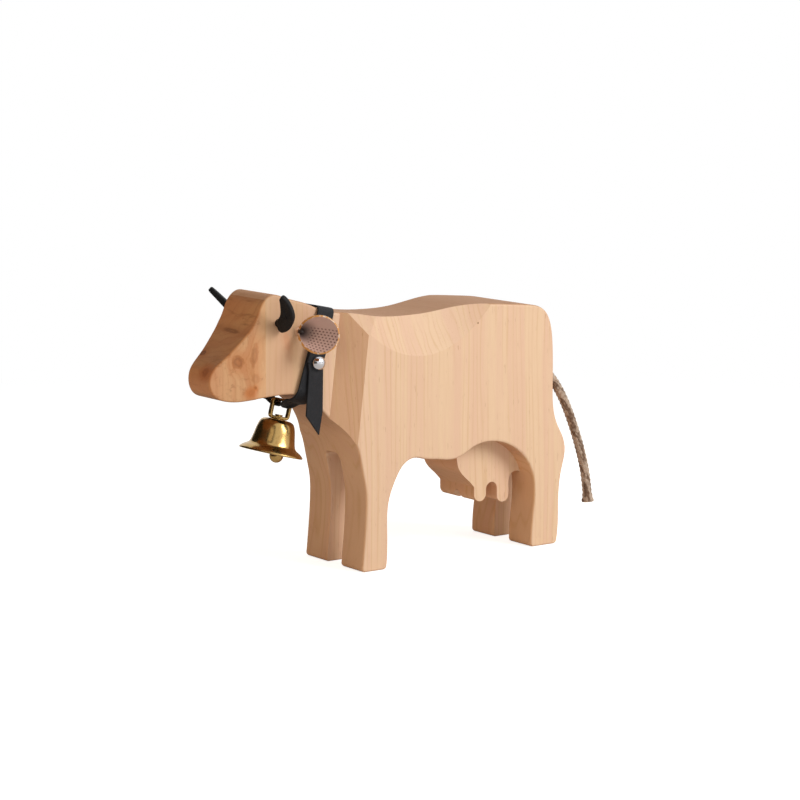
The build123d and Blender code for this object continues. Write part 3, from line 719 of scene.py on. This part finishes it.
def makeHorn(side):
    # Each ring = middle + (outline - middle) * share, inset by round * (1 - sine) where the edge turns
    across, face = np.array(horn["across"]), np.array(horn["face"])
    across = across / np.linalg.norm(across)
    face = face - across * (face @ across)
    face = face / np.linalg.norm(face)
    along = np.cross(face, across)
    scale = np.array([horn["span"], horn["length"]])
    loop = hornOutline() * scale
    way = np.roll(loop, -1, 0) - np.roll(loop, 1, 0)
    way = way / np.linalg.norm(way, axis=1)[:, None]
    inward = np.stack([way[:, 1], -way[:, 0]], -1)
    middle = np.array(horn["middle"]) * scale
    half, bend = horn["thick"] / 2, horn["round"]
    taper = 1 + (horn["tipThick"] / horn["thick"] - 1) * np.clip(loop[:, 1:] / horn["length"], 0, 1)
    rings = [(share, bend, half) for share in horn["faceShares"]]
    for angle in np.radians(np.linspace(0, 90, 7)):
        rings.append((1, bend * (1 - math.sin(angle)), half - bend * (1 - math.cos(angle))))
    rings += [(share, inset, -height) for share, inset, height in rings[::-1]]
    grid = []
    for share, inset, height in rings:
        flat = middle + (loop + inward * inset - middle) * share
        grid.append(flat[:, :1] * across + flat[:, 1:] * along + face * height * taper)
    points = np.array(horn["root"]) + np.array(grid)
    spot = np.array(horn["tang"]) * scale
    start = np.array(horn["root"]) + across * spot[0] + along * spot[1]
    radius, end = horn["tangRadius"], horn["tangEnd"] - start[1]
    bar = [(0, horn["tangTop"]), (radius, horn["tangTop"]), (radius, end - horn["tangRound"]),
           (radius - horn["tangRound"], end), (0, end)]
    lying = Matrix.Translation(Vector(start)) @ Matrix.Rotation(math.radians(-90), 4, "X")
    tang = revolved(bar, 40, lying)
    if side > 0:
        turned = Matrix.Rotation(math.radians(horn["rightTurn"]), 4, "Y")
        centre = start * [1, -1, 1]
        points, tang = (placed(part * [1, -1, 1] - centre, turned) + centre for part in (points, tang))
    name, node = ("leftHorn", "left_horn") if side < 0 else ("rightHorn", "right_horn")
    blade = surface(name, points * mm, closeColumns=True, sharp=50)
    meshes = [blade, surface("tang", tang * mm, closeColumns=True)]
    piece(name + "Leather", meshes, hornLeather, "cow", [node])


def hornOutline():
    # The outline as a smooth closed loop: its ends are repeated past the seam and cut off again
    steps, lead = horn["steps"], 3
    outline = np.array(horn["outline"])
    wrapped = np.vstack([outline[-lead:], outline, outline[:lead]])
    return smoothCurve(wrapped, steps * (len(wrapped) - 1) + 1)[steps * lead:steps * (lead + len(outline))]


makeHorn(-1)
makeHorn(1)

# Ears: round leather discs rolled to a cone, embossed inside

# The darkest colour in this table is painted shade inside the cone, near its root
ear = {
    "root": (-57.59, -16.5, 123.52), "keel": (0.55, -0.82, -0.11), "axis": (-0.09, -0.995, 0.04),
    "radius": 11.0, "thick": 1.2, "halfAngle": 40, "spread": 84, "rows": 60, "columns": 97,
    "rootShare": 0.05, "rootRadius": 1.2, "plugRadius": 2.15, "plugDepth": 5.0, "plugRound": 0.4,
    "throat": [(0.4, 0.4), (0.5, 2.2), (0.6, 3.2), (0.4, 4.6), (0, 5.2)],
    "inside": colour(200, 162, 148), "dots": colour(92, 56, 54), "rim": colour(214, 148, 74),
    # The worn colour is partly wear on the rim, partly painted highlight
    "worn": colour(240, 214, 190), "outside": colour(186, 122, 74), "paintedRootShade": colour(26, 14, 14),
    "bare": colour(218, 172, 134), "dashPitch": (1.9, 1.55), "dashStart": (5.0, 8.5), "smoothFrom": 3.0,
    "paintedRootShadeRange": (13, 2),
}


def earFinish():
    # Dashes in rows, pressed into the inside; painted shade deepens towards the root, where the cone closes
    hide = Finish("tanLeather", Roughness=0.55)
    place = hide.coordinates((1, 1, 1), "UV")
    u, v = hide.axis(place, "X"), hide.axis(place, "Y")
    marks = ("inner", "rim", "bare")
    inner, rim, bare = (hide.node("Attribute", {"attribute_name": mark}, output="Fac") for mark in marks)
    along, rows = ear["dashPitch"]
    step = v / rows
    odd = (step * math.pi).sine().between(-0.3, 0.3)
    wave = (u * (2 * math.pi / along) + odd * math.pi).sine() * 0.5 + 0.5
    dash = wave * ((step * 2 * math.pi).sine() * 0.5 + 0.5)
    smooth = ear["smoothFrom"]
    dent = dash.between(0.4, 0.65) * u.between(*ear["dashStart"]) * v.between(smooth + 1.5, smooth)
    mottle = hide.noise(hide.coordinates((0.4, 0.4, 0.4)), 3)
    # Painted shade inside the cone, darkest at the root
    paintedRootShade = hide.node("VectorMath", {"operation": "LENGTH"}, {0: place}, "Value").between(*ear["paintedRootShadeRange"])
    embossed = hide.mix(dent * 0.8, ear["inside"], ear["dots"])
    embossed = hide.mix(paintedRootShade * 0.97, embossed, ear["paintedRootShade"])
    outer = hide.mix(mottle.between(0.4, 0.7) * 0.4, ear["outside"], ear["rim"])
    # Lighter patches on the rim: partly wear, partly painted highlight
    wearAndHighlight = hide.noise(hide.coordinates((0.5, 0.5, 0.5), shift=(3, 0, 5)), 3, 0.7).between(0.5, 0.62)
    edge = hide.mix(wearAndHighlight, ear["rim"], ear["worn"])
    shade = hide.mix(inner, outer, embossed)
    shade = hide.mix(rim.between(0.4, 0.7), shade, edge)
    hide.feed(Base_Color=hide.mix(bare, shade, ear["bare"]))
    hide.feed(Roughness=0.5 + mottle * 0.15)
    hide.feed(Normal=hide.bumped(mottle * 0.3 - dent * inner, 0.0003))
    return hide


def makeEar(side, finish):
    # A disc in polar form about its root, rho = 2 R cos(phi), rolled up: azimuth = phi / sin(half angle)
    mirror = [1, -side, 1]
    root, keel, axis = (np.array(ear[part]) * mirror for part in ("root", "keel", "axis"))
    axis /= np.linalg.norm(axis)
    keelSide = keel - axis * (keel @ axis)
    keelSide /= np.linalg.norm(keelSide)
    other = np.cross(axis, keelSide)
    alpha = math.radians(ear["halfAngle"])
    phi = np.radians(np.linspace(-ear["spread"], ear["spread"], ear["columns"]))
    share, phi = np.meshgrid(np.linspace(ear["rootShare"], 1, ear["rows"]), phi, indexing="ij")
    rho = share * 2 * ear["radius"] * np.cos(phi) + (1 - share) * ear["rootRadius"]
    rho = np.minimum(rho, 2 * ear["radius"])
    turn = (phi / math.sin(alpha))[..., None]
    radial = np.cos(turn) * keelSide + np.sin(turn) * other
    outside = root + (math.cos(alpha) * axis + math.sin(alpha) * radial) * rho[..., None]
    through = (math.sin(alpha) * axis - math.cos(alpha) * radial) * ear["thick"]
    edge = [(outside + through * part)[-1:] for part in (0.25, 0.5, 0.75)]
    points = np.concatenate([outside, *edge, (outside + through)[::-1]])
    flat = np.stack([rho * np.cos(phi), rho * np.sin(phi)], -1)
    uv = np.concatenate([flat, *[flat[-1:]] * len(edge), flat[::-1]])

    # Each point's row tells the inside and the rim from the outside
    rows, columns = points.shape[:2]
    order = np.arange(rows * columns).reshape(rows, columns)
    row = order // columns
    rim = ear["rows"] - 1
    last = rim + len(edge)
    marks = {"inner": row > last, "rim": (row >= rim) & (row <= last + 1), "bare": 0 * row}
    front, back = order[:rim], order[::-1][:rim]
    caps = []
    for end in (0, -1):
        strip = [front[:-1, end], front[1:, end], back[1:, end], back[:-1, end]]
        caps.append(np.stack(strip, -1))
    name, node = ("leftEar", "left_ear") if side < 0 else ("rightEar", "right_ear")
    cone = surface(name, points * mm, closeRows=True, sharp=50, uv=uv, caps=caps, marks=marks)
    piece(name + "Leather", [cone, earPlug(root, axis)], finish, "cow", [node])


def earPlug(root, axis):
    # The rolled root: a plug that fills its hole, and the throat that it forms inside the cone, painted with
    # the dark root shade
    wide, depth, rounded = ear["plugRadius"], ear["plugDepth"], ear["plugRound"]
    profile = [(0, -depth), (wide * 0.9, -depth), (wide, rounded - depth), (wide, 0)]
    profile = np.array(profile + [(wide * part, height) for part, height in ear["throat"]])
    lean = Vector(axis).to_track_quat("Z", "Y").to_matrix().to_4x4()
    points = revolved(profile * mm, 40, Matrix.Translation(Vector(root) * mm) @ lean)
    # The throat takes the inside's colour at UV 0, so the full painted shade
    within = np.repeat(profile[:, 1:] > 0.5, 40, 1)
    marks = {"inner": within, "rim": 0 * within, "bare": ~within}
    return surface("plug", points, closeColumns=True, uv=np.zeros((*within.shape, 2)), marks=marks)


earHide = earFinish()
makeEar(-1, earHide)
makeEar(1, earHide)
print("horns and ears made")

# Studio: a pale floor, soft light from the right, and dark cards on the left, seen only in reflections

studio = {
    "key": 17.2, "keyPlace": (0.75, -1.25, 0.85), "keySize": 0.9, "aim": (0, 0, 0.07),
    "fill": 3.0, "fillPlace": (-1.3, -0.9, 0.7), "fillSize": 1.1, "warm": (1, 0.9, 0.79), "sky": 0.37,
    "floorGlow": 0.75, "floorHalf": 3.0, "floorLevel": -0.0001, "floorNear": (0.22, 0.7),
    "cards": [(-0.9, -1.5), (-1.3, -0.75), (-1.3, 0.3), (-1.0, 1.1), (-0.5, 1.5), (0.0, 1.7)],
    "cardHeight": 1.8,
}
white = (1, 1, 1, 1)


class Sky(Finish):
    # The world, whose nodes are made as a material's are
    def __init__(self, name):
        self.world = bpy.data.worlds.new(name)
        self.world.use_nodes = True
        self.tree = self.world.node_tree
        self.shader = self.tree.nodes["Background"]


def areaLight(name, place, size, power, tint=(1, 1, 1)):
    data = bpy.data.lights.new(name, "AREA")
    data.shape, data.size, data.energy, data.color = "DISK", size, power, tint
    light = bpy.data.objects.new(name, data)
    light.location = place
    light.rotation_euler = (Vector(studio["aim"]) - Vector(place)).to_track_quat("-Z", "Y").to_euler()
    bpy.context.collection.objects.link(light)


def stagePlane(name, corners, finish):
    mesh = bpy.data.meshes.new(name)
    mesh.from_pydata(corners, [], [(0, 1, 2, 3)])
    mesh.materials.append(finish.material)
    made = bpy.data.objects.new(name, mesh)
    bpy.context.collection.objects.link(made)
    return made


def floorFinish():
    # White to the camera far away; near the cow it takes its shadow
    pale = Finish("paleFloor", Roughness=0.9)
    pale.shader.inputs["Base Color"].default_value = (0.9, 0.9, 0.9, 1)
    pale.shader.inputs["Specular IOR Level"].default_value = 0
    place = pale.node("TexCoord", output="Object")
    distance = pale.node("VectorMath", {"operation": "LENGTH"}, {0: place}, "Value")
    away = distance.between(*studio["floorNear"])
    camera = pale.node("LightPath", output="Is Camera Ray")
    none, glow, full = (
        pale.node("Emission", {}, {"Color": white, "Strength": strength})
        for strength in (0.0, studio["floorGlow"], 1.0)
    )
    lit = pale.node("MixShader", {}, {0: camera, 1: none, 2: glow})
    near = pale.node("AddShader", {}, {0: lit, 1: Value(pale, pale.shader.outputs[0])})
    whole = pale.node("MixShader", {}, {0: away * camera, 1: near, 2: full})
    pale.tree.links.new(whole.socket, pale.tree.nodes["Material Output"].inputs["Surface"])
    return pale


def makeSky():
    # Dim and warm where it lights the cow, white to the camera and in reflections
    sky = Sky("studioSky")
    rays = ("Is Camera Ray", "Is Glossy Ray", "Is Transmission Ray")
    camera, glossy, through = (sky.node("LightPath", output=ray) for ray in rays)
    seen = camera.most(glossy.most(through))
    strength = sky.node("MapRange", {}, {"Value": seen, "To Min": studio["sky"], "To Max": 1.0})
    sky.feed(Color=sky.mix(seen, (*studio["warm"], 1), white), Strength=strength)
    bpy.context.scene.world = sky.world


def makeStudio():
    areaLight("keyLight", studio["keyPlace"], studio["keySize"], studio["key"])
    areaLight("fillLight", studio["fillPlace"], studio["fillSize"], studio["fill"], studio["warm"])
    makeSky()
    half, low = studio["floorHalf"], studio["floorLevel"]
    corners = [(-half, -half, low), (half, -half, low), (half, half, low), (-half, half, low)]
    stagePlane("floor", corners, floorFinish())
    dark = Finish("darkCard", Roughness=0.9)
    dark.shader.inputs["Base Color"].default_value = (0.02, 0.018, 0.015, 1)
    tall = studio["cardHeight"]
    for number, (first, second) in enumerate(zip(studio["cards"], studio["cards"][1:])):
        corners = [(*first, 0), (*second, 0), (*second, tall), (*first, tall)]
        card = stagePlane(f"darkCard{number}", corners, dark)
        card.visible_camera = card.visible_diffuse = card.visible_shadow = False


makeStudio()
bpy.context.scene.view_settings.view_transform = "Standard"
print("studio made")
